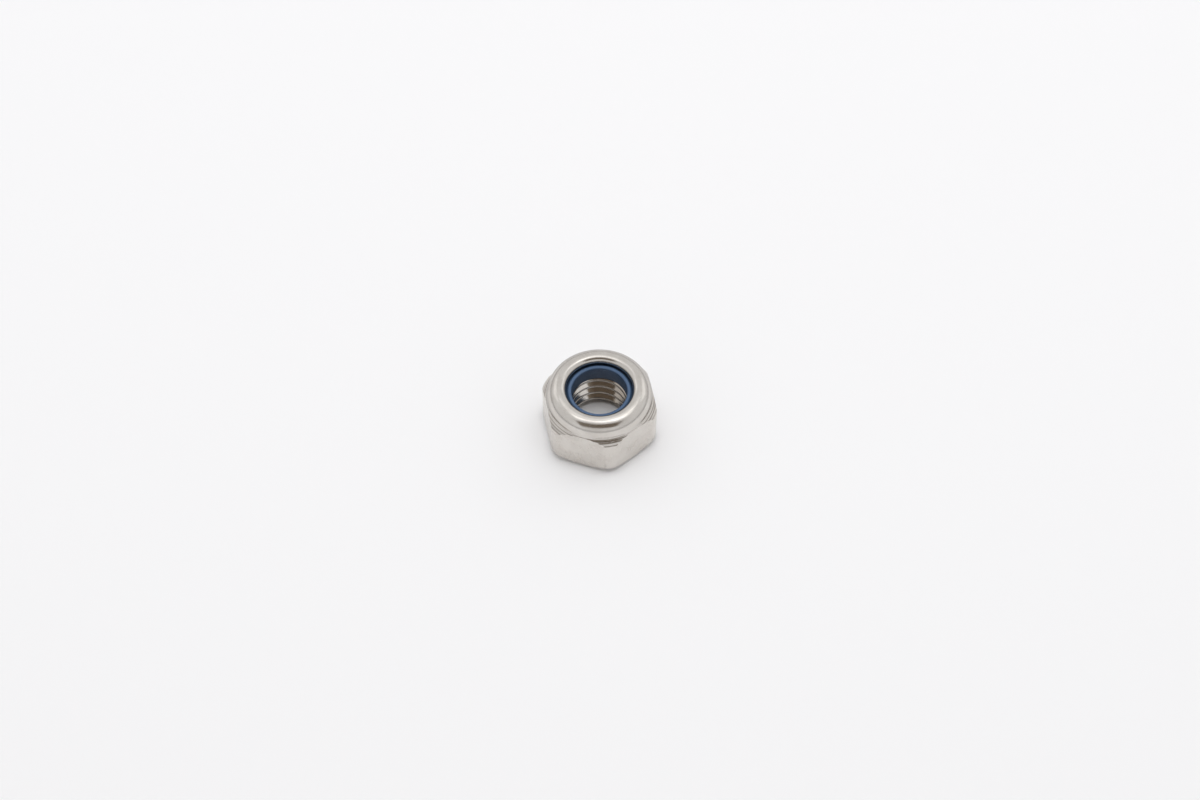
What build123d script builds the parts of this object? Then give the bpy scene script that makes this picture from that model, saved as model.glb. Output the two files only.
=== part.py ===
from build123d import *
from build123d.topology import SkipClean
import math
import os

# Nylon insert lock nut, thin type, for an M8 x 1.25 bolt.
# The axis is Z. The bearing face lies on z = 0 and the rolled collar is on top.
# Two of the hexagon's corners lie on the Y axis and two of its flats face along X.

# ---- Driving dimensions, in millimetres and degrees --------------------------------

THREAD_DIAMETER = 8.0  # nominal size, measured at the roots of the nut's thread
THREAD_PITCH = 1.25
THREAD_DEPTH = 0.67  # from root to crest
THREAD_FLANK_ANGLE = 60.0  # between the two flanks of one groove
THREAD_ROOT_FLAT = 0.156  # width of the groove's floor
THREADED_HEIGHT = 5.0  # from the bearing face to the floor of the ring's pocket

NUT_HEIGHT = 8.0
HEX_SIDES = 6
ACROSS_FLATS = 13.0
CORNER_ROUNDING = 1.8  # radius between two flats
HEX_HEIGHT = 5.9  # top of a flat, at its middle
HEX_CHAMFER_ANGLE = 30.0  # fall of the hexagon's top cone
CORNER_TOP_RADIUS = 1.5  # rounding from the top cone down into the corners
CORNER_TOP_MARGIN = 0.05  # how far outside the corners that rounding would end
BEARING_DIAMETER = 11.6
BEARING_CHAMFER_ANGLE = 30.0  # rise of the cone around the bearing face
COUNTERSINK_DIAMETER = 8.4
COUNTERSINK_ANGLE = 120.0  # full angle of the lead-in cone

COLLAR_STEP = 0.1  # the collar's wall stands in from the flats by this much
SHOULDER_RADIUS = 1.65  # outer edge of the rolled rim
LIP_REACH = 1.02  # how far the rolled lip stands in from the pocket's wall
LIP_DROP = 0.58  # fall of the rim from its crest to the lip's edge
LIP_EDGE = 0.2  # height of the lip's blunt edge
LIP_SLOPE = 29.0  # fall of the lip's underside towards the wall

RING_WIDTH = 1.69  # from the ring's bore to the pocket's wall
RING_BITE = 0.64  # how far the ring's bore stands inside the nominal thread
RING_LIP_GAP = 0.12  # open height between the ring's crown and the lip's edge
RING_BEAD_WIDTH = 0.19  # flat top of the bead around the ring's bore
RING_BEAD_HEIGHT = 0.3  # above the shelf that the lip presses on
RING_BEAD_ANGLE = 45.0  # fall of the bead's outer side
RING_EDGE_RADIUS = 0.2  # rounding of the ring's bore at its top
RING_LEAD_IN = 0.1  # chamfer of the ring's bore at its bottom

CUT_MARGIN = 1.0  # how far a cutting shape runs on past the metal
BORE_WALL_PARTS = 4  # faces that the bore's wall is divided into

# ---- Sizes that follow from them ----------------------------------------------------

thread_root_radius = THREAD_DIAMETER / 2
thread_bore_radius = thread_root_radius - THREAD_DEPTH
countersink_radius = COUNTERSINK_DIAMETER / 2
countersink_depth = (countersink_radius - thread_bore_radius) / math.tan(math.radians(COUNTERSINK_ANGLE / 2))

flat_radius = ACROSS_FLATS / 2
half_side_angle = 180 / HEX_SIDES
corner_radius = (flat_radius - CORNER_ROUNDING) / math.cos(math.radians(half_side_angle)) + CORNER_ROUNDING
bearing_radius = BEARING_DIAMETER / 2
bearing_rise = math.tan(math.radians(BEARING_CHAMFER_ANGLE))
hex_fall = math.tan(math.radians(HEX_CHAMFER_ANGLE))
rounding_end_radius = corner_radius + CORNER_TOP_MARGIN
rounding_run = CORNER_TOP_RADIUS * math.tan(math.radians((90 - HEX_CHAMFER_ANGLE) / 2))
rounding_start_radius = rounding_end_radius - rounding_run * math.cos(math.radians(HEX_CHAMFER_ANGLE))

collar_radius = flat_radius - COLLAR_STEP
collar_base = HEX_HEIGHT + COLLAR_STEP * hex_fall
crest_radius = collar_radius - SHOULDER_RADIUS

ring_bore_radius = thread_root_radius - RING_BITE
pocket_radius = ring_bore_radius + RING_WIDTH
lip_radius = pocket_radius - LIP_REACH
lip_top = NUT_HEIGHT - LIP_DROP
lip_bottom = lip_top - LIP_EDGE
lip_fall = math.tan(math.radians(LIP_SLOPE))
pocket_top = lip_bottom - LIP_REACH * lip_fall
ring_top = lip_bottom - RING_LIP_GAP
ring_shelf = ring_top - RING_BEAD_HEIGHT
bead_radius = ring_bore_radius + RING_EDGE_RADIUS + RING_BEAD_WIDTH
bead_foot_radius = bead_radius + RING_BEAD_HEIGHT / math.tan(math.radians(RING_BEAD_ANGLE))
ring_contact_radius = lip_radius + (lip_bottom - ring_shelf) / lip_fall


def turned(outline):
    """A solid turned about the Z axis from a closed outline of radius and height."""
    return revolve(Plane.XZ * make_face(outline), Axis.Z)


def hexagon_block():
    """The wrenching part: a hexagon with rounded corners, coned at both ends."""
    hexagon = RegularPolygon(flat_radius, HEX_SIDES, major_radius=False, rotation=half_side_angle)
    prism = extrude(fillet(hexagon.vertices(), CORNER_ROUNDING), NUT_HEIGHT)
    reach = corner_radius + CUT_MARGIN
    rounding_start = (rounding_start_radius, HEX_HEIGHT - (rounding_start_radius - flat_radius) * hex_fall)
    rounding_end = (
        rounding_end_radius,
        HEX_HEIGHT - (rounding_end_radius - flat_radius) * hex_fall - rounding_run,
    )
    outline = [
        Polyline(
            rounding_start,
            (collar_radius, collar_base),
            (0, collar_base),
            (0, 0),
            (bearing_radius, 0),
            (reach, (reach - bearing_radius) * bearing_rise),
            (reach, rounding_end[1]),
            rounding_end,
        ),
        RadiusArc(rounding_end, rounding_start, -CORNER_TOP_RADIUS),
    ]
    return prism & turned(outline)


def rolled_collar():
    """The round collar with its shoulder and the rim that is rolled over the ring."""
    shoulder_start = (collar_radius, NUT_HEIGHT - SHOULDER_RADIUS)
    crest = (crest_radius, NUT_HEIGHT)
    lip_corner = (lip_radius, lip_top)
    outline = [
        Polyline(
            lip_corner,
            (0, lip_top),
            (0, THREADED_HEIGHT),
            (collar_radius, THREADED_HEIGHT),
            shoulder_start,
        ),
        RadiusArc(shoulder_start, crest, -SHOULDER_RADIUS),
        TangentArc(crest, lip_corner, tangent=(-1, 0)),
    ]
    return turned(outline)


def ring_pocket():
    """The space that the ring fills, the gap above it and the mouth inside the lip."""
    outline = Polyline(
        (0, THREADED_HEIGHT),
        (pocket_radius, THREADED_HEIGHT),
        (pocket_radius, pocket_top),
        (lip_radius, lip_bottom),
        (lip_radius, lip_top + CUT_MARGIN),
        (0, lip_top + CUT_MARGIN),
        close=True,
    )
    return turned(outline)


def countersink():
    """The lead-in cone under the thread."""
    spread = math.tan(math.radians(COUNTERSINK_ANGLE / 2))
    outline = Polyline(
        (0, -CUT_MARGIN),
        (countersink_radius + CUT_MARGIN * spread, -CUT_MARGIN),
        (thread_bore_radius, countersink_depth),
        (0, countersink_depth),
        close=True,
    )
    return turned(outline)


def tapping_bore():
    """The bore before tapping, its wall in parts so that no thread crest is one long face."""
    span = 360 / BORE_WALL_PARTS
    arcs = [CenterArc((0, 0), thread_bore_radius, n * span, span) for n in range(BORE_WALL_PARTS)]
    blank = extrude(make_face(arcs), THREADED_HEIGHT + 2 * CUT_MARGIN, clean=False)
    return Pos(0, 0, -CUT_MARGIN) * blank


def groove_turns():
    """The turns of one right-hand groove, from below the bearing face up into the pocket."""
    flank = math.tan(math.radians(THREAD_FLANK_ANGLE / 2))
    mouth_radius = thread_bore_radius - THREAD_DEPTH / 2
    half_floor = THREAD_ROOT_FLAT / 2
    half_mouth = half_floor + (thread_root_radius - mouth_radius) * flank
    outline = Polyline(
        (mouth_radius, -half_mouth),
        (thread_root_radius, -half_floor),
        (thread_root_radius, half_floor),
        (mouth_radius, half_mouth),
        close=True,
    )
    path = Helix(THREAD_PITCH, THREAD_PITCH, thread_bore_radius)
    turn = sweep(Plane.XZ * make_face(outline), path, is_frenet=True)
    count = math.ceil((THREADED_HEIGHT + CUT_MARGIN) / THREAD_PITCH) + 1
    return [Pos(0, 0, (n - 1) * THREAD_PITCH) * turn for n in range(count)]


def nut_body():
    """The steel nut. The bore's wall keeps its parts only while faces aren't joined up."""
    body = hexagon_block() + rolled_collar() - ring_pocket() - countersink()
    with SkipClean():
        body -= tapping_bore()
        for turn in groove_turns():
            body -= turn
    return body


def nylon_ring():
    """The locking ring, seated on the pocket's floor and held down by the rolled lip."""
    inner_corner = (ring_bore_radius, ring_top - RING_EDGE_RADIUS)
    crown = (ring_bore_radius + RING_EDGE_RADIUS, ring_top)
    outline = [
        Polyline(
            crown,
            (bead_radius, ring_top),
            (bead_foot_radius, ring_shelf),
            (ring_contact_radius, ring_shelf),
            (pocket_radius, pocket_top),
            (pocket_radius, THREADED_HEIGHT),
            (ring_bore_radius + RING_LEAD_IN, THREADED_HEIGHT),
            (ring_bore_radius, THREADED_HEIGHT + RING_LEAD_IN),
            inner_corner,
        ),
        RadiusArc(inner_corner, crown, RING_EDGE_RADIUS),
    ]
    return turned(outline)


def write_step(shape, node):
    solids = shape.solids()
    assert len(solids) == 1, f"{node} is {len(solids)} solids"
    solids[0].label = node
    export_step(solids[0], f"parts/{node}.step")
    box = solids[0].bounding_box()
    print(f"{node}: {solids[0].volume:.2f} mm3, {box.size.X:.2f} x {box.size.Y:.2f} x {box.size.Z:.2f} mm")


os.makedirs("parts", exist_ok=True)
write_step(nut_body(), "nut_body")
write_step(nylon_ring(), "nylon_ring")
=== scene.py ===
import math

import bpy
from mathutils import Matrix, Vector

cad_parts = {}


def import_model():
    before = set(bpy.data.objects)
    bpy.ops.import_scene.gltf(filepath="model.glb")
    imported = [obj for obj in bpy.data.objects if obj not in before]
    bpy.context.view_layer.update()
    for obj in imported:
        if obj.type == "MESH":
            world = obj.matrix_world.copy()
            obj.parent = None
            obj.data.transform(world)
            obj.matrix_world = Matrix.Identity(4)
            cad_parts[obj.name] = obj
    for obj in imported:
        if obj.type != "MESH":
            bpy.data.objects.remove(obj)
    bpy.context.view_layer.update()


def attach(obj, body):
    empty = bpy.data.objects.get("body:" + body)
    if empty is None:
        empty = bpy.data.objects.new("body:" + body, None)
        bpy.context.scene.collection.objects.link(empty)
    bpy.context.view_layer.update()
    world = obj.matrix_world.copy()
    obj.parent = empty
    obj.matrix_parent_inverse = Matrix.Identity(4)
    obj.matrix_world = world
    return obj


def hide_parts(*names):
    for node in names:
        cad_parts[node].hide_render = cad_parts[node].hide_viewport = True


# Nylon insert lock nut: the steel body and its locking ring, remade finely around the CAD frame.
# Metres, in the frame's own axes. The nut's axis is Z and its bearing face is on z = 0.

MM = 0.001

# ---- Sizes of the nut -----------------------------------------------------------------

THREAD_PITCH = 1.25 * MM
THREAD_ROOT_RADIUS = 4.0 * MM
THREAD_BORE_RADIUS = 3.33 * MM
THREAD_ROOT_FLAT = 0.156 * MM
THREAD_FLANK_TILT = math.radians(30)
THREAD_EDGE = 0.065 * MM  # softening of the crests and roots
THREADED_HEIGHT = 5.0 * MM

NUT_HEIGHT = 8.0 * MM
FLAT_RADIUS = 6.5 * MM
CORNER_ROUNDING = 1.8 * MM
CORNER_STEPS = 16
TOP_CONE_TILT = math.radians(30)
BEARING_CONE_TILT = math.radians(30)
HEX_TOP = 5.9 * MM  # top of a flat, at its middle
HEX_EDGE = 0.05 * MM  # softening of the edges between flats and cones
CORNER_TOP_RADIUS = 1.5 * MM  # rounding from the top cone down into the corners
CORNER_TOP_END = 7.277 * MM  # radius at which that rounding would end, just outside the corners
BEARING_RADIUS = 5.8 * MM
BEARING_EDGE = 0.12 * MM
COUNTERSINK_RADIUS = 4.2 * MM
COUNTERSINK_TILT = math.radians(30)  # rise of the lead-in cone
COUNTERSINK_EDGE = 0.05 * MM

COLLAR_RADIUS = 6.4 * MM
COLLAR_BASE_EDGE = 0.1 * MM
SHOULDER_RADIUS = 1.65 * MM
LIP_RADIUS = 4.03 * MM
LIP_TOP = 7.42 * MM
LIP_BOTTOM = 7.22 * MM
LIP_EDGE = 0.07 * MM
POCKET_RADIUS = 5.05 * MM
POCKET_TOP = 6.655 * MM

RING_BORE_RADIUS = 3.36 * MM
RING_TOP = 7.1 * MM
RING_BEAD_RADIUS = 3.75 * MM  # outer edge of the bead around the bore
RING_BEAD_FOOT = 4.05 * MM
RING_SHELF = 6.8 * MM
RING_CONTACT_RADIUS = 4.788 * MM  # where the lip starts to press on the shelf
RING_EDGE = 0.2 * MM
RING_LEAD_IN = 0.1 * MM

TURNING_STEPS = 250
TAP_STEPS = 192
MERGE = 0.001 * MM
BISECT_THRESHOLD = 0.00001 * MM
OVERRUN = 0.8 * MM  # how far a cutting shape runs on past the metal

# ---- Finishes -----------------------------------------------------------------------------

# Each steel finish: roughness, pitch and depth of its rings, how dark painted shade makes
# the grooves, depth of its uneven polish, and how light the steel is.
STEEL_FINISHES = {
    "rolled_steel": (0.17, 0.3 * MM, 0.0012 * MM, 0.0, 0.004 * MM, 1.0),
    "drawn_steel": (0.24, 0.9 * MM, 0.0006 * MM, 0.0, 0.005 * MM, 1.06),
    "turned_steel": (0.2, 0.22 * MM, 0.012 * MM, 0.85, 0.003 * MM, 1.06),
    # The thread's steel is made lighter as painted light, brightening the deep thread.
    "tapped_steel": (0.1, 0.11 * MM, 0.002 * MM, 0.25, 0.003 * MM, 1.15),
}
STEEL_TONES = ((0.605, 0.57, 0.53), (0.695, 0.665, 0.625))
STEEL_PATCHES = 420.0
STEEL_WANDER = 0.15
STEEL_SCRATCHES = 0.35
SCRATCH_DEPTH = 0.0008 * MM
SCRATCH_COLOUR = (0.80, 0.79, 0.77, 1)
# Painted shade in the grooves of the tool rings.
GROOVE_SHADE_COLOUR = (0.20, 0.17, 0.14, 1)
# Painted shade on one side of the thread.
THREAD_SHADE_COLOUR = (0.24, 0.19, 0.14, 1)
# Painted shade where the rolled steel is seen edge on.
EDGE_ON_SHADE_COLOUR = (0.17, 0.15, 0.13, 1)

NYLON_TONES = ((0.045, 0.095, 0.19, 1), (0.072, 0.135, 0.25, 1))
NYLON_GRAIN_COLOUR = (0.13, 0.21, 0.34, 1)
# Painted shade on the wall of the bore, and on the shelf under the lip.
NYLON_BORE_SHADE_COLOUR = (0.022, 0.04, 0.075, 1)
NYLON_SHELF_SHADE_COLOUR = (0.006, 0.010, 0.018, 1)
NYLON_SCRATCH_COLOUR = (0.3, 0.4, 0.55, 1)
NYLON_PATCHES = 700.0
NYLON_SCRATCHES = 0.8
NYLON_RING_PITCH = 0.16 * MM
NYLON_WANDER = 0.4
NYLON_GRAIN_DEPTH = 0.004 * MM
NYLON_RING_DEPTH = 0.003 * MM

# How each set of scratches is turned, and how its noise is stretched.
SCRATCH_SETS = (
    ((0.3, 0.9, 0.2), (240, 7000, 900)),
    ((1.2, 0.4, 0.9), (6000, 300, 700)),
    ((0.5, 0.4, 2.1), (700, 260, 6500)),
)

# ---- Camera and studio ------------------------------------------------------------------

CAMERA_AZIMUTH = -11.5
CAMERA_ELEVATION = 54.2
CAMERA_ROLL = 0.2
CAMERA_DISTANCE = 300 * MM
CAMERA_LENS = 74.0
SENSOR_WIDTH = 36.0
IMAGE_WIDTH = 1200
NUT_CENTRE_PIXELS = (-0.65, -5.75)  # from the middle of the image, right and up

FLOOR_COLOUR = (0.955, 0.955, 0.965, 1)
HORIZON_COLOUR = (0.40, 0.40, 0.405, 1)
SKY_COLOUR = (0.79, 0.79, 0.795, 1)
SKY_HEIGHT = 0.3  # sine of the elevation at which the sky has its full colour

# Each lamp: degrees round from the camera, elevation, width, height and power.
LAMP_DISTANCE = 0.6
LAMPS = {
    "overhead_fill": (180, 89, 0.15, 0.15, 0.62),
    "overhead_strip": (180, 86, 0.5, 0.15, 0.22),
    "back_strip": (180, 67, 0.55, 0.16, 0.085),
    "left_strip": (-132, 37, 0.25, 0.2, 0.065),
    "right_strip": (132, 37, 0.25, 0.2, 0.065),
    "right_softbox": (115, 70, 0.28, 0.2, 0.09),
}
NOT_REFLECTED = "overhead_fill"

CARD_ELEVATION = 55
CARD_DISTANCE = 0.45
CARD_SIZE = (0.55, 0.26)
CARD_COLOUR = (0.19, 0.15, 0.11, 1)


# ---- Working by hand: selection, wires and turned shapes ----------------------------------


def deselect():
    bpy.ops.object.select_all(action="DESELECT")


def pick(obj):
    """Only obj is selected and active."""
    deselect()
    obj.select_set(True)
    bpy.context.view_layer.objects.active = obj


def select_vertices(obj, wanted):
    """In edit mode, selects the vertices for which wanted(place) is true."""
    bpy.ops.mesh.select_mode(type="VERT")
    bpy.ops.mesh.select_all(action="DESELECT")
    bpy.ops.object.mode_set(mode="OBJECT")
    for v in obj.data.vertices:
        v.select = wanted(v.co)
    bpy.ops.object.mode_set(mode="EDIT")


def select_edges(obj, wanted):
    """In edit mode, selects the edges for which wanted(end, other end, normals of its faces) is true."""
    bpy.ops.mesh.select_mode(type="EDGE")
    bpy.ops.mesh.select_all(action="DESELECT")
    bpy.ops.object.mode_set(mode="OBJECT")
    mesh = obj.data
    normals = {}
    for face in mesh.polygons:
        for key in face.edge_keys:
            normals.setdefault(key, []).append(face.normal.copy())
    for edge in mesh.edges:
        a, b = (mesh.vertices[i].co for i in edge.vertices)
        edge.select = wanted(a, b, normals.get(edge.key, []))
    bpy.ops.object.mode_set(mode="EDIT")


def start_wire(name, start):
    """A new object in edit mode with one vertex, at start's radius and height."""
    deselect()
    bpy.ops.mesh.primitive_plane_add(size=MM)
    obj = bpy.context.object
    obj.name = name
    bpy.ops.object.mode_set(mode="EDIT")
    bpy.ops.mesh.select_mode(type="VERT")
    bpy.ops.mesh.select_all(action="SELECT")
    bpy.ops.mesh.merge(type="CENTER")
    bpy.ops.transform.translate(value=(start[0], 0, start[1]))
    return obj


def draw_on(points, start):
    """Extrudes the selected vertex of a wire through points of radius and height."""
    at = start
    for point in points:
        step = (point[0] - at[0], 0, point[1] - at[1])
        bpy.ops.mesh.extrude_region_move(TRANSFORM_OT_translate={"value": step})
        at = point


def round_corners(obj, corners, width, steps=4):
    """Rounds a wire's corners at these radii and heights."""
    near = 0.01 * MM
    places = [Vector((r, 0, z)) for r, z in corners]
    select_vertices(obj, lambda co: any((co - p).length < near for p in places))
    bpy.ops.mesh.bevel(offset=width, segments=steps, affect="VERTICES")


def close_up(obj):
    """Merges doubles and turns all faces outwards."""
    bpy.ops.mesh.select_all(action="SELECT")
    bpy.ops.mesh.remove_doubles(threshold=MERGE)
    bpy.ops.mesh.normals_make_consistent(inside=False)


def turn(obj, steps=TURNING_STEPS):
    """Spins the wire being edited once around the Z axis, and leaves edit mode."""
    bpy.ops.mesh.select_all(action="SELECT")
    bpy.ops.mesh.spin(steps=steps, angle=math.tau, center=(0, 0, 0), axis=(0, 0, 1), use_auto_merge=True)
    close_up(obj)
    bpy.ops.object.mode_set(mode="OBJECT")


def cut(obj, tool, operation):
    """Applies a boolean with tool to obj, and deletes tool."""
    pick(obj)
    modifier = obj.modifiers.new("cut", "BOOLEAN")
    modifier.operation = operation
    modifier.solver = "EXACT"
    modifier.object = tool
    bpy.ops.object.modifier_apply(modifier=modifier.name)
    bpy.data.objects.remove(tool, do_unlink=True)


def arc(centre, radius, start, end, steps):
    """Points of an arc in the plane of radius and height, by degrees from outwards to up."""
    points = []
    for n in range(1, steps + 1):
        angle = math.radians(start + (end - start) * n / steps)
        points.append((centre[0] + radius * math.cos(angle), centre[1] + radius * math.sin(angle)))
    return points


# ---- The steel body -------------------------------------------------------------------


def hexagon_bar():
    """The bar that the wrenching flats come from, its corners rounded."""
    deselect()
    bpy.ops.mesh.primitive_cylinder_add(
        vertices=6, radius=FLAT_RADIUS / math.cos(math.radians(30)), depth=NUT_HEIGHT + 2 * OVERRUN
    )
    bar = bpy.context.object
    bar.name = "lock_nut_body"
    bpy.ops.object.mode_set(mode="EDIT")
    bpy.ops.mesh.select_all(action="SELECT")
    bpy.ops.transform.translate(value=(0, 0, NUT_HEIGHT / 2))
    select_edges(bar, lambda a, b, normals: abs(a.z - b.z) > MM)
    setback = CORNER_ROUNDING * math.tan(math.radians(30))
    bpy.ops.mesh.bevel(offset=setback, segments=CORNER_STEPS, affect="EDGES", profile=0.5)
    bpy.ops.object.mode_set(mode="OBJECT")
    return bar


def roll_points():
    """The arc from the rim's crest down to the lip, level at the crest."""
    crest = (COLLAR_RADIUS - SHOULDER_RADIUS, NUT_HEIGHT)
    reach = crest[0] - LIP_RADIUS
    drop = crest[1] - LIP_TOP
    radius = (reach**2 + drop**2) / (2 * drop)
    end = 90 + math.degrees(math.asin(reach / radius))
    return arc((crest[0], crest[1] - radius), radius, 90, end, 14)


def turned_blank():
    """Everything that is turned or rolled: both cones, the collar, the rim, the pocket and the lead-in."""
    reach = FLAT_RADIUS + 1.5 * MM
    inner = THREAD_BORE_RADIUS - 0.2 * MM
    lead_in_top = (COUNTERSINK_RADIUS - inner) * math.tan(COUNTERSINK_TILT)
    collar_base = HEX_TOP + (FLAT_RADIUS - COLLAR_RADIUS) * math.tan(TOP_CONE_TILT)
    crest_radius = COLLAR_RADIUS - SHOULDER_RADIUS
    shoulder_centre = (crest_radius, NUT_HEIGHT - SHOULDER_RADIUS)
    rounding_run = CORNER_TOP_RADIUS * math.tan((math.pi / 2 - TOP_CONE_TILT) / 2)
    rounding_end = HEX_TOP - (CORNER_TOP_END - FLAT_RADIUS) * math.tan(TOP_CONE_TILT) - rounding_run
    rounding_centre = (CORNER_TOP_END - CORNER_TOP_RADIUS, rounding_end)
    start = (0, lead_in_top)
    blank = start_wire("turned_blank", start)
    draw_on(
        [
            (inner, lead_in_top),
            (COUNTERSINK_RADIUS, 0),
            (BEARING_RADIUS, 0),
            (reach, (reach - BEARING_RADIUS) * math.tan(BEARING_CONE_TILT)),
            (reach, rounding_end),
            (CORNER_TOP_END, rounding_end),
            *arc(rounding_centre, CORNER_TOP_RADIUS, 0, 90 - math.degrees(TOP_CONE_TILT), 14),
            (COLLAR_RADIUS, collar_base),
            (COLLAR_RADIUS, shoulder_centre[1]),
            *arc(shoulder_centre, SHOULDER_RADIUS, 0, 90, 20),
            *roll_points(),
            (LIP_RADIUS, LIP_BOTTOM),
            (POCKET_RADIUS, POCKET_TOP),
            (POCKET_RADIUS, THREADED_HEIGHT),
            (inner, THREADED_HEIGHT),
            (0, THREADED_HEIGHT),
        ],
        start,
    )
    round_corners(blank, [(COUNTERSINK_RADIUS, 0)], COUNTERSINK_EDGE)
    round_corners(blank, [(BEARING_RADIUS, 0)], BEARING_EDGE)
    round_corners(blank, [(COLLAR_RADIUS, collar_base)], COLLAR_BASE_EDGE)
    round_corners(blank, [(LIP_RADIUS, LIP_TOP), (LIP_RADIUS, LIP_BOTTOM)], LIP_EDGE)
    turn(blank)
    return blank


def tap():
    """The screw-shaped cutter of the thread, from below the lead-in up into the pocket."""
    half_root = THREAD_ROOT_FLAT / 2
    depth = THREAD_ROOT_RADIUS - THREAD_BORE_RADIUS
    half_mouth = half_root + depth * math.tan(THREAD_FLANK_TILT)
    low = -2
    turns = math.ceil((THREADED_HEIGHT + OVERRUN) / THREAD_PITCH) + 2 - low
    teeth = []
    for n in range(low, low + turns):
        middle = n * THREAD_PITCH
        teeth += [
            (THREAD_BORE_RADIUS, middle - half_mouth),
            (THREAD_ROOT_RADIUS, middle - half_root),
            (THREAD_ROOT_RADIUS, middle + half_root),
            (THREAD_BORE_RADIUS, middle + half_mouth),
        ]
    cutter = start_wire("tap", teeth[0])
    draw_on(teeth[1:], teeth[0])
    round_corners(cutter, teeth[1:-1], THREAD_EDGE, steps=3)
    bpy.ops.object.mode_set(mode="OBJECT")
    pick(cutter)
    screw = cutter.modifiers.new("thread", "SCREW")
    screw.axis = "Z"
    screw.angle = math.tau
    screw.screw_offset = THREAD_PITCH
    screw.steps = TAP_STEPS
    screw.render_steps = TAP_STEPS
    screw.use_merge_vertices = False
    bpy.ops.object.modifier_apply(modifier=screw.name)
    bpy.ops.object.mode_set(mode="EDIT")
    bpy.ops.mesh.select_all(action="SELECT")
    bpy.ops.mesh.remove_doubles(threshold=MERGE)
    for height, keeps_above in ((-OVERRUN, True), (THREADED_HEIGHT + OVERRUN, False)):
        bpy.ops.mesh.select_all(action="SELECT")
        bpy.ops.mesh.bisect(
            plane_co=(0, 0, height),
            plane_no=(0, 0, 1),
            use_fill=True,
            clear_inner=keeps_above,
            clear_outer=not keeps_above,
            threshold=BISECT_THRESHOLD,
        )
    close_up(cutter)
    bpy.ops.object.mode_set(mode="OBJECT")
    return cutter


def soften_hexagon(body):
    """Breaks the sharp edges between the flats and the cones."""
    bpy.ops.object.mode_set(mode="EDIT")

    def between_side_and_cone(a, b, normals):
        if len(normals) != 2 or max(a.xy.length, b.xy.length) < FLAT_RADIUS - 0.01 * MM:
            return False
        slopes = sorted(abs(n.z) for n in normals)
        return slopes[0] < 0.01 and slopes[1] > 0.2

    select_edges(body, between_side_and_cone)
    bpy.ops.mesh.bevel(offset=HEX_EDGE, segments=2, affect="EDGES", clamp_overlap=False)
    bpy.ops.object.mode_set(mode="OBJECT")


def nut_body():
    body = hexagon_bar()
    cut(body, turned_blank(), "INTERSECT")
    soften_hexagon(body)
    cut(body, tap(), "DIFFERENCE")
    pick(body)
    bpy.ops.object.shade_smooth_by_angle(angle=math.radians(32))
    weighted = body.modifiers.new("even shading", "WEIGHTED_NORMAL")
    weighted.keep_sharp = True
    bpy.ops.object.modifier_apply(modifier=weighted.name)
    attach(body, "root")
    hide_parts("nut_body")
    return body


# ---- The nylon ring -------------------------------------------------------------------


def locking_ring():
    """The nylon ring, its crown under the lip and its bore rounded at the top."""
    start = (RING_BORE_RADIUS, THREADED_HEIGHT + RING_LEAD_IN)
    ring = start_wire("locking_ring", start)
    draw_on(
        [
            (RING_BORE_RADIUS, RING_TOP - RING_EDGE),
            *[
                (2 * (RING_BORE_RADIUS + RING_EDGE) - r, z)
                for r, z in arc((RING_BORE_RADIUS + RING_EDGE, RING_TOP - RING_EDGE), RING_EDGE, 0, 90, 8)
            ],
            (RING_BEAD_RADIUS, RING_TOP),
            (RING_BEAD_FOOT, RING_SHELF),
            (RING_CONTACT_RADIUS, RING_SHELF),
            (POCKET_RADIUS, POCKET_TOP),
            (POCKET_RADIUS, THREADED_HEIGHT),
            (RING_BORE_RADIUS + RING_LEAD_IN, THREADED_HEIGHT),
            start,
        ],
        start,
    )
    turn(ring)
    pick(ring)
    bpy.ops.object.shade_smooth_by_angle(angle=math.radians(32))
    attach(ring, "root")
    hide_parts("nylon_ring")
    return ring


# ---- Materials ------------------------------------------------------------------------


def feed(tree, socket, value):
    """Links value into socket, or sets it there if it is a plain value."""
    if isinstance(value, bpy.types.NodeSocket):
        tree.links.new(value, socket)
    else:
        socket.default_value = value


def place(tree, kind, inputs=(), **settings):
    """A node with these settings and inputs, by name or number."""
    node = tree.nodes.new(kind)
    for name, value in settings.items():
        setattr(node, name, value)
    for name, value in dict(inputs).items():
        feed(tree, node.inputs[name], value)
    return node


def calc(tree, operation, a, b=0.0, c=0.0):
    return place(tree, "ShaderNodeMath", {0: a, 1: b, 2: c}, operation=operation).outputs[0]


def noise(tree, vector, scale, detail=2.0, roughness=0.5):
    inputs = {"Vector": vector, "Scale": scale, "Detail": detail, "Roughness": roughness}
    return place(tree, "ShaderNodeTexNoise", inputs).outputs["Fac"]


def remap(tree, value, low, high, to_low, to_high):
    inputs = {"Value": value, "From Min": low, "From Max": high, "To Min": to_low, "To Max": to_high}
    return place(tree, "ShaderNodeMapRange", inputs).outputs["Result"]


def blend(tree, factor, a, b):
    """A colour from a to b."""
    node = place(tree, "ShaderNodeMix", data_type="RGBA")
    feed(tree, node.inputs[0], factor)
    feed(tree, node.inputs[6], a)
    feed(tree, node.inputs[7], b)
    return node.outputs[2]


def new_group(name, inputs, outputs):
    """A shader node group, with its input and output nodes."""
    tree = bpy.data.node_groups.new(name, "ShaderNodeTree")
    for label, value in inputs.items():
        socket = tree.interface.new_socket(label, in_out="INPUT", socket_type="NodeSocketFloat")
        socket.default_value = value
    for label in outputs:
        tree.interface.new_socket(label, in_out="OUTPUT", socket_type="NodeSocketFloat")
    return tree, tree.nodes.new("NodeGroupInput").outputs, tree.nodes.new("NodeGroupOutput").inputs


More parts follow.
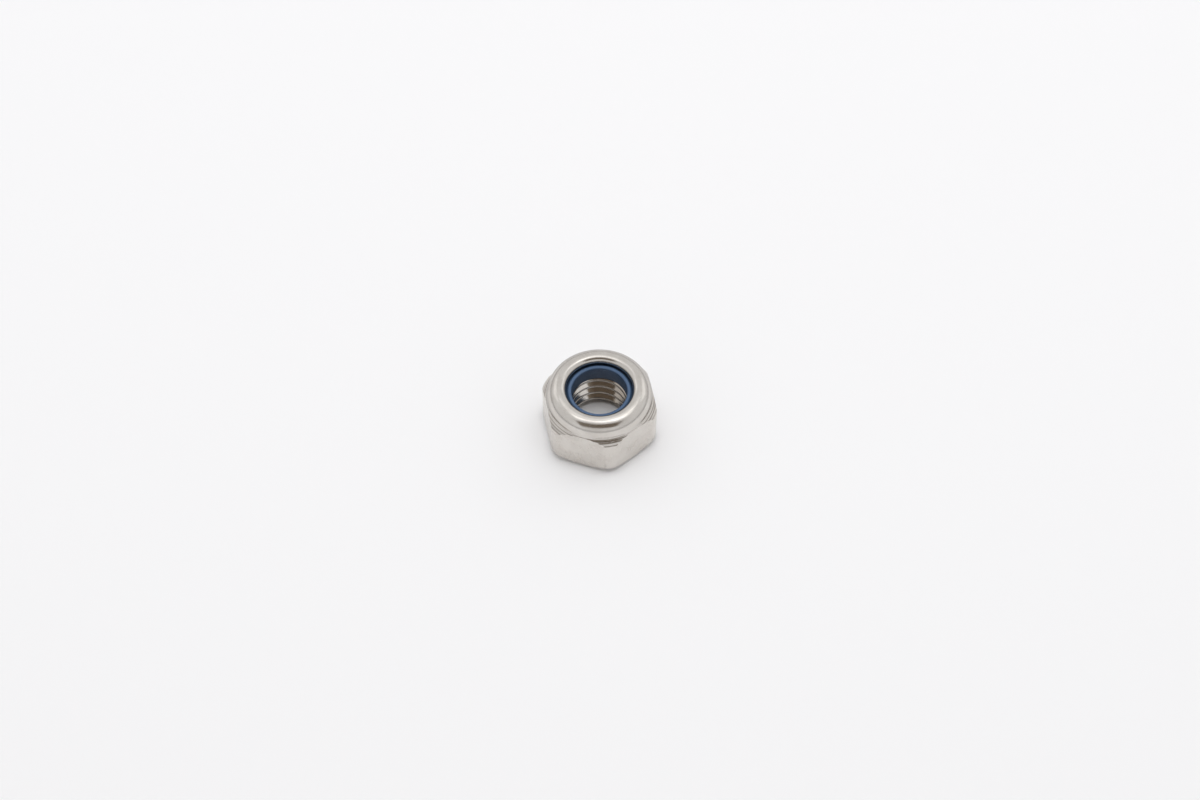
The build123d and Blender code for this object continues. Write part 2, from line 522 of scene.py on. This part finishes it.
def use_group(tree, group, **inputs):
    node = place(tree, "ShaderNodeGroup", node_tree=group)
    for name, value in inputs.items():
        feed(tree, node.inputs[name], value)
    return node.outputs


def object_place(tree):
    return place(tree, "ShaderNodeTexCoord").outputs["Object"]


def split(tree, vector):
    return place(tree, "ShaderNodeSeparateXYZ", {0: vector}).outputs


def axis_distance(tree, xyz):
    """How far a place is from the nut's axis."""
    y_squared = calc(tree, "MULTIPLY", xyz[1], xyz[1])
    return calc(tree, "SQRT", calc(tree, "MULTIPLY_ADD", xyz[0], xyz[0], y_squared))


def turning_marks():
    """Rings around the Z axis, as a tool leaves them. Pitch is in metres."""
    given_values = {"Pitch": 0.2 * MM, "Wander": 1.0}
    tree, given, gives = new_group("turning_marks", given_values, ["Rings", "Grooves"])
    whole = object_place(tree)
    xyz = split(tree, whole)
    radius = axis_distance(tree, xyz)
    profile = place(tree, "ShaderNodeCombineXYZ", {0: radius, 1: xyz[2], 2: 0.0}).outputs[0]
    wander = calc(tree, "MULTIPLY", given["Wander"], 6.0)
    drift = calc(tree, "MULTIPLY", noise(tree, whole, 260.0, 1.0), wander)
    turns = calc(tree, "DIVIDE", radius, given["Pitch"])
    phase = calc(tree, "MULTIPLY_ADD", turns, math.tau, drift)
    ring = remap(tree, calc(tree, "SINE", phase), -1.0, 1.0, 0.0, 1.0)
    fine = calc(tree, "MULTIPLY", noise(tree, profile, 9000.0, 3.0, 0.6), 0.5)
    tree.links.new(calc(tree, "MULTIPLY_ADD", ring, 0.5, fine), gives["Rings"])
    tree.links.new(calc(tree, "POWER", ring, 4.0), gives["Grooves"])
    return tree


def scratches():
    """Sparse hairline scratches: three sets of stretched noise, each in patches of its own."""
    tree, given, gives = new_group("scratches", {"Amount": 0.5}, ["Mask"])
    whole = object_place(tree)
    width = calc(tree, "MULTIPLY", given["Amount"], 0.03)
    total = 0.0
    for turned_by, scale in SCRATCH_SETS:
        stretch = {"Vector": whole, "Rotation": turned_by, "Scale": scale}
        line = noise(tree, place(tree, "ShaderNodeMapping", stretch).outputs[0], 1.0, 0.0)
        edge = calc(tree, "ABSOLUTE", calc(tree, "SUBTRACT", line, 0.5))
        mark = remap(tree, edge, 0.0, width, 1.0, 0.0)
        moved = place(tree, "ShaderNodeMapping", {"Vector": whole, "Location": turned_by}).outputs[0]
        patch = remap(tree, noise(tree, moved, 700.0, 1.0), 0.56, 0.66, 0.0, 1.0)
        total = calc(tree, "MAXIMUM", calc(tree, "MULTIPLY", mark, patch), total)
    tree.links.new(total, gives["Mask"])
    return tree


def mottle():
    """Soft uneven patches, coarse and fine, from 0 to 1."""
    tree, given, gives = new_group("mottle", {"Scale": 400.0}, ["Patches", "Grain"])
    whole = object_place(tree)
    coarse = noise(tree, whole, given["Scale"], 3.0, 0.55)
    fine = noise(tree, whole, calc(tree, "MULTIPLY", given["Scale"], 12.0), 2.0, 0.6)
    tree.links.new(remap(tree, coarse, 0.3, 0.7, 0.0, 1.0), gives["Patches"])
    tree.links.new(remap(tree, fine, 0.3, 0.7, 0.0, 1.0), gives["Grain"])
    return tree


def new_material(name):
    material = bpy.data.materials.new(name)
    material.use_nodes = True
    return material, material.node_tree, material.node_tree.nodes["Principled BSDF"].inputs


def bump(tree, height, distance, normal=None):
    node = place(tree, "ShaderNodeBump", {"Height": height, "Distance": distance})
    if normal is not None:
        tree.links.new(normal, node.inputs["Normal"])
    return node.outputs[0]


def painted_thread_shade(tree):
    """A mask of painted shade over the +X half of the thread, which darkens that side."""
    whole = object_place(tree)
    ragged = calc(tree, "MULTIPLY_ADD", noise(tree, whole, 900.0), 0.8 * MM, split(tree, whole)[0])
    return remap(tree, ragged, -0.1 * MM, 0.5 * MM, 0.0, 0.6)


def painted_edge_on_shade(tree):
    """A mask of painted shade that rises where the surface is seen edge on."""
    facing = place(tree, "ShaderNodeLayerWeight", {"Blend": 0.5}).outputs["Facing"]
    return remap(tree, facing, 0.5, 0.8, 0.0, 0.65)


def steel(name, groups):
    """Stainless steel: rings of a tool, hairline scratches, and a slightly uneven polish."""
    roughness, ring_pitch, ring_depth, groove_shade, wave_depth, lightness = STEEL_FINISHES[name]
    material, tree, shader = new_material(name)
    rings = use_group(tree, groups["turning_marks"], Pitch=ring_pitch, Wander=STEEL_WANDER)
    marks = use_group(tree, groups["scratches"], Amount=STEEL_SCRATCHES)["Mask"]
    patches = use_group(tree, groups["mottle"], Scale=STEEL_PATCHES)
    shader["Metallic"].default_value = 1.0

    dark, light = ([part * lightness for part in tone] + [1] for tone in STEEL_TONES)
    colour = blend(tree, patches["Patches"], dark, light)
    # Painted shade in the grooves of the rings, on the finishes that have it.
    colour = blend(tree, calc(tree, "MULTIPLY", rings["Grooves"], groove_shade), colour, GROOVE_SHADE_COLOUR)
    if name == "tapped_steel":
        # Painted shade over the +X half of the thread.
        colour = blend(tree, painted_thread_shade(tree), colour, THREAD_SHADE_COLOUR)
    elif name == "rolled_steel":
        # Painted shade where the rolled steel is seen edge on, for a dark outline.
        colour = blend(tree, painted_edge_on_shade(tree), colour, EDGE_ON_SHADE_COLOUR)
    colour = blend(tree, calc(tree, "MULTIPLY", marks, 0.25), colour, SCRATCH_COLOUR)
    tree.links.new(colour, shader["Base Color"])

    rough = remap(tree, patches["Patches"], 0.0, 1.0, roughness + 0.04, roughness - 0.03)
    rough = calc(tree, "MULTIPLY_ADD", marks, 0.08, rough)
    rough = calc(tree, "MULTIPLY_ADD", patches["Grain"], 0.04, rough)
    tree.links.new(rough, shader["Roughness"])

    wavy = bump(tree, patches["Patches"], wave_depth)
    ringed = bump(tree, rings["Rings"], ring_depth, wavy)
    tree.links.new(bump(tree, marks, -SCRATCH_DEPTH, ringed), shader["Normal"])
    return material


def bore_and_shelf_shade(tree):
    """Masks of painted shade: on the wall of the bore, and on the shelf under the lip."""
    radius = axis_distance(tree, split(tree, object_place(tree)))
    bore = remap(tree, radius, RING_BORE_RADIUS + 0.01 * MM, RING_BORE_RADIUS + 0.15 * MM, 0.6, 0.0)
    shelf = remap(tree, radius, RING_BEAD_RADIUS + 0.05 * MM, RING_BEAD_FOOT + 0.05 * MM, 0.0, 0.85)
    return bore, shelf


def nylon(groups):
    """Dyed nylon: slightly mottled, with a soft moulded skin."""
    material, tree, shader = new_material("blue_nylon")
    patches = use_group(tree, groups["mottle"], Scale=NYLON_PATCHES)
    marks = use_group(tree, groups["scratches"], Amount=NYLON_SCRATCHES)["Mask"]
    rings = use_group(tree, groups["turning_marks"], Pitch=NYLON_RING_PITCH, Wander=NYLON_WANDER)
    bore, shelf = bore_and_shelf_shade(tree)

    colour = blend(tree, patches["Patches"], *NYLON_TONES)
    colour = blend(tree, calc(tree, "MULTIPLY", patches["Grain"], 0.25), colour, NYLON_GRAIN_COLOUR)
    # Painted shade on the bore wall and on the shelf under the lip.
    colour = blend(tree, bore, colour, NYLON_BORE_SHADE_COLOUR)
    colour = blend(tree, shelf, colour, NYLON_SHELF_SHADE_COLOUR)
    colour = blend(tree, calc(tree, "MULTIPLY", marks, 0.2), colour, NYLON_SCRATCH_COLOUR)
    tree.links.new(colour, shader["Base Color"])

    tree.links.new(remap(tree, patches["Grain"], 0.0, 1.0, 0.34, 0.5), shader["Roughness"])
    skin = bump(tree, patches["Grain"], NYLON_GRAIN_DEPTH)
    tree.links.new(bump(tree, rings["Rings"], NYLON_RING_DEPTH, skin), shader["Normal"])
    return material


def dress_body(body, groups):
    """Gives each face of the body the finish that its making leaves."""
    order = list(STEEL_FINISHES)
    for name in order:
        body.data.materials.append(steel(name, groups))
    for face in body.data.polygons:
        radius, height, slope = face.center.xy.length, face.center.z, abs(face.normal.z)
        if radius < COUNTERSINK_RADIUS and height < THREADED_HEIGHT + 0.01 * MM:
            finish = "tapped_steel"
        elif radius > COLLAR_RADIUS and height < HEX_TOP and slope < 0.1:
            finish = "drawn_steel"
        elif height < HEX_TOP and slope > 0.1 and (radius > COLLAR_RADIUS or height < MM):
            finish = "turned_steel"
        else:
            finish = "rolled_steel"
        face.material_index = order.index(finish)


# ---- Studio ---------------------------------------------------------------------------


def direction(azimuth, elevation):
    """Unit vector from the nut towards a camera or lamp at these degrees."""
    a, e = math.radians(azimuth), math.radians(elevation)
    return Vector((math.sin(a) * math.cos(e), -math.cos(a) * math.cos(e), math.sin(e)))


def floor():
    deselect()
    bpy.ops.mesh.primitive_plane_add(size=6)
    plane = bpy.context.object
    plane.name = "floor"
    material, tree, shader = new_material("pale_floor")
    shader["Base Color"].default_value = FLOOR_COLOUR
    shader["Roughness"].default_value = 0.9
    shader["Specular IOR Level"].default_value = 0
    plane.data.materials.append(material)


def facing_the_nut(azimuth, elevation, distance):
    """A place in the studio, by degrees round from the camera, and the turn that faces the nut from it."""
    spot = direction(CAMERA_AZIMUTH + azimuth, elevation) * distance
    return spot, spot.to_track_quat("Z", "Y").to_euler()


def lamps():
    for name, (azimuth, elevation, width, height, power) in LAMPS.items():
        deselect()
        spot, facing = facing_the_nut(azimuth, elevation, LAMP_DISTANCE)
        bpy.ops.object.light_add(type="AREA", location=spot, rotation=facing)
        lamp = bpy.context.object
        lamp.name = name
        lamp.data.shape = "RECTANGLE"
        lamp.data.size = width
        lamp.data.size_y = height
        lamp.data.energy = power
        lamp.visible_glossy = name != NOT_REFLECTED


def dark_card():
    """A brown card behind the camera, which gives the steel its dark reflections."""
    deselect()
    spot, facing = facing_the_nut(0, CARD_ELEVATION, CARD_DISTANCE)
    bpy.ops.mesh.primitive_plane_add(size=1, location=spot, rotation=facing)
    plane = bpy.context.object
    plane.name = "dark_card"
    plane.scale = (*CARD_SIZE, 1)
    bpy.ops.object.transform_apply(location=True, rotation=True, scale=True)
    material, tree, shader = new_material("dark_card")
    shader["Base Color"].default_value = CARD_COLOUR
    shader["Roughness"].default_value = 0.9
    plane.data.materials.append(material)


def world():
    """A pale room: greyer near the horizon, brighter above."""
    sky = bpy.data.worlds.new("studio")
    sky.use_nodes = True
    bpy.context.scene.world = sky
    tree = sky.node_tree
    height = split(tree, place(tree, "ShaderNodeTexCoord").outputs["Generated"])[2]
    rise = remap(tree, height, 0.0, SKY_HEIGHT, 0.0, 1.0)
    tree.links.new(blend(tree, rise, HORIZON_COLOUR, SKY_COLOUR), tree.nodes["Background"].inputs["Color"])


def camera():
    deselect()
    bpy.ops.object.camera_add()
    cam = bpy.context.object
    cam.name = "camera"
    back = direction(CAMERA_AZIMUTH, CAMERA_ELEVATION)
    cam.location = Vector((0, 0, NUT_HEIGHT / 2)) + back * CAMERA_DISTANCE
    aim = back.to_track_quat("Z", "Y").to_matrix() @ Matrix.Rotation(math.radians(CAMERA_ROLL), 3, "Z")
    cam.rotation_euler = aim.to_euler()
    cam.data.lens = CAMERA_LENS
    cam.data.sensor_width = SENSOR_WIDTH
    cam.data.shift_x = -NUT_CENTRE_PIXELS[0] / IMAGE_WIDTH
    cam.data.shift_y = -NUT_CENTRE_PIXELS[1] / IMAGE_WIDTH
    cam.data.clip_start = 10 * MM
    cam.data.clip_end = 50
    bpy.context.scene.camera = cam


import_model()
camera()
body = nut_body()
ring = locking_ring()
groups = {"turning_marks": turning_marks(), "scratches": scratches(), "mottle": mottle()}
dress_body(body, groups)
ring.data.materials.append(nylon(groups))
floor()
world()
lamps()
dark_card()
bpy.context.scene.view_settings.view_transform = "Standard"
